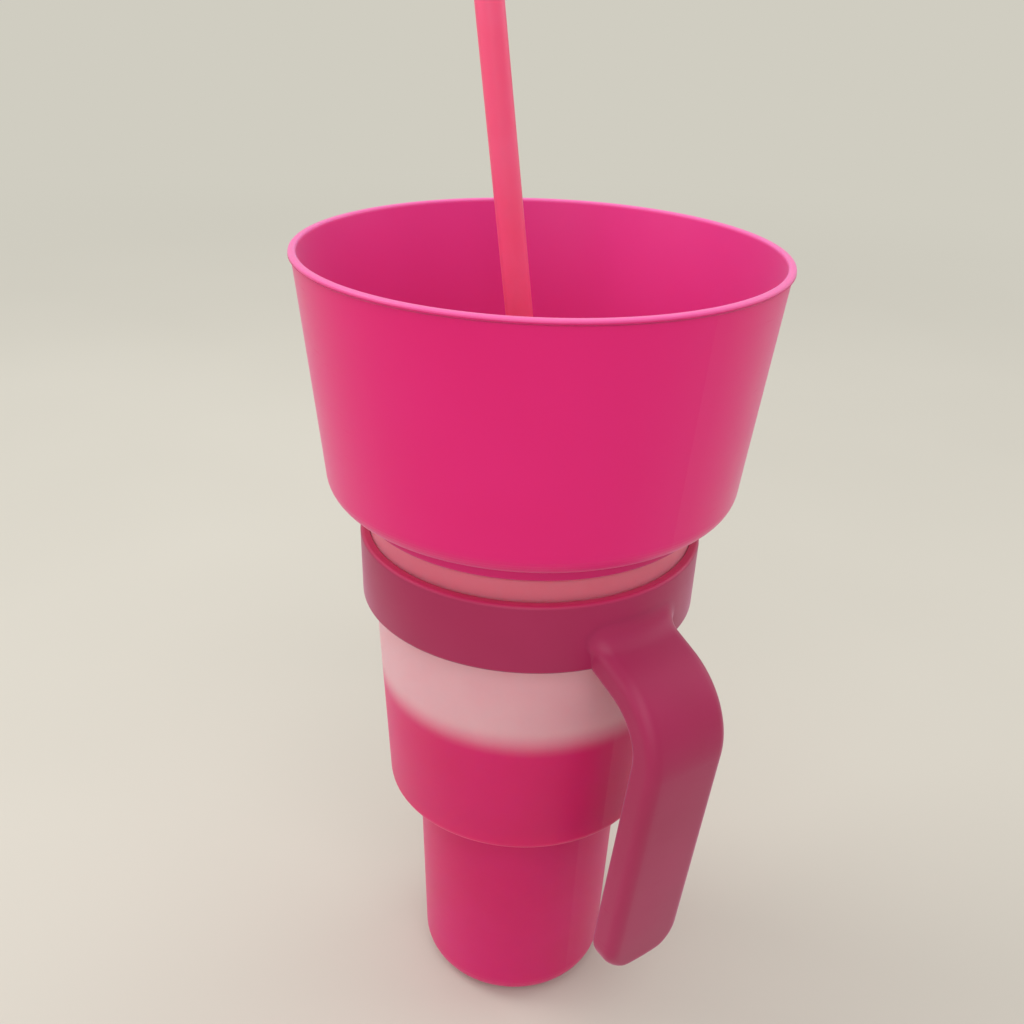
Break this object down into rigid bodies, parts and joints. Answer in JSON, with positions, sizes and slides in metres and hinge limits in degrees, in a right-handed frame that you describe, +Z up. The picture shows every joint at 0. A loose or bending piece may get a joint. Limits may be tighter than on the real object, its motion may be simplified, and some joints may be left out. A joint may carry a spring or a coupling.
{
  "type": "snack tumbler",
  "caption": "Two-in-one tumbler: a cup with a cup-holder stem, a snack bowl that screws on top, a straw through the bowl, and a push-on ring with a long open handle.",
  "frame": {"origin": "middle of the cup's base, in the plane of the table", "axes": "+Z up along the cup's axis, +X towards the handle's arm"},
  "size_m": [0.1584, 0.1492, 0.3651],
  "materials": {
    "frosted_plastic": "frosted translucent polypropylene, clear above and pink where the drink chills it",
    "bowl_plastic": "satin hot pink polypropylene",
    "seal_rubber": "soft translucent silicone",
    "handle_plastic": "satin deep pink polypropylene",
    "straw_plastic": "translucent coral pink plastic tube"
  },
  "bodies": {
    "cup": {"cup": "frosted_plastic"},
    "seal": {"seal_ring": "seal_rubber"},
    "bowl": {"snack_bowl": "bowl_plastic"},
    "handle": {"handle": "handle_plastic"},
    "straw": {"straw": "straw_plastic"}
  },
  "joints": [
    {"name": "bowl_rise", "type": "slide", "parent": "cup", "child": "seal", "axis": [0, 0, 1], "range_m": [0, 0.012]},
    {"name": "bowl_turn", "type": "hinge", "parent": "seal", "child": "bowl", "pos_m": [0, 0, 0.2], "axis": [0, 0, 1], "range_deg": [0, 360]},
    {"name": "straw_lift", "type": "slide", "parent": "bowl", "child": "straw", "axis": [-0.0756, -0.1021, 0.9919], "range_m": [0, 0.215]},
    {"name": "handle_slide", "type": "slide", "parent": "cup", "child": "handle", "axis": [0, 0, 1], "range_m": [-0.046, 0]}
  ],
  "couplings": [
    {"joint": "bowl_rise", "follows": "bowl_turn", "m_per_rad": 0.0019099}
  ]
}
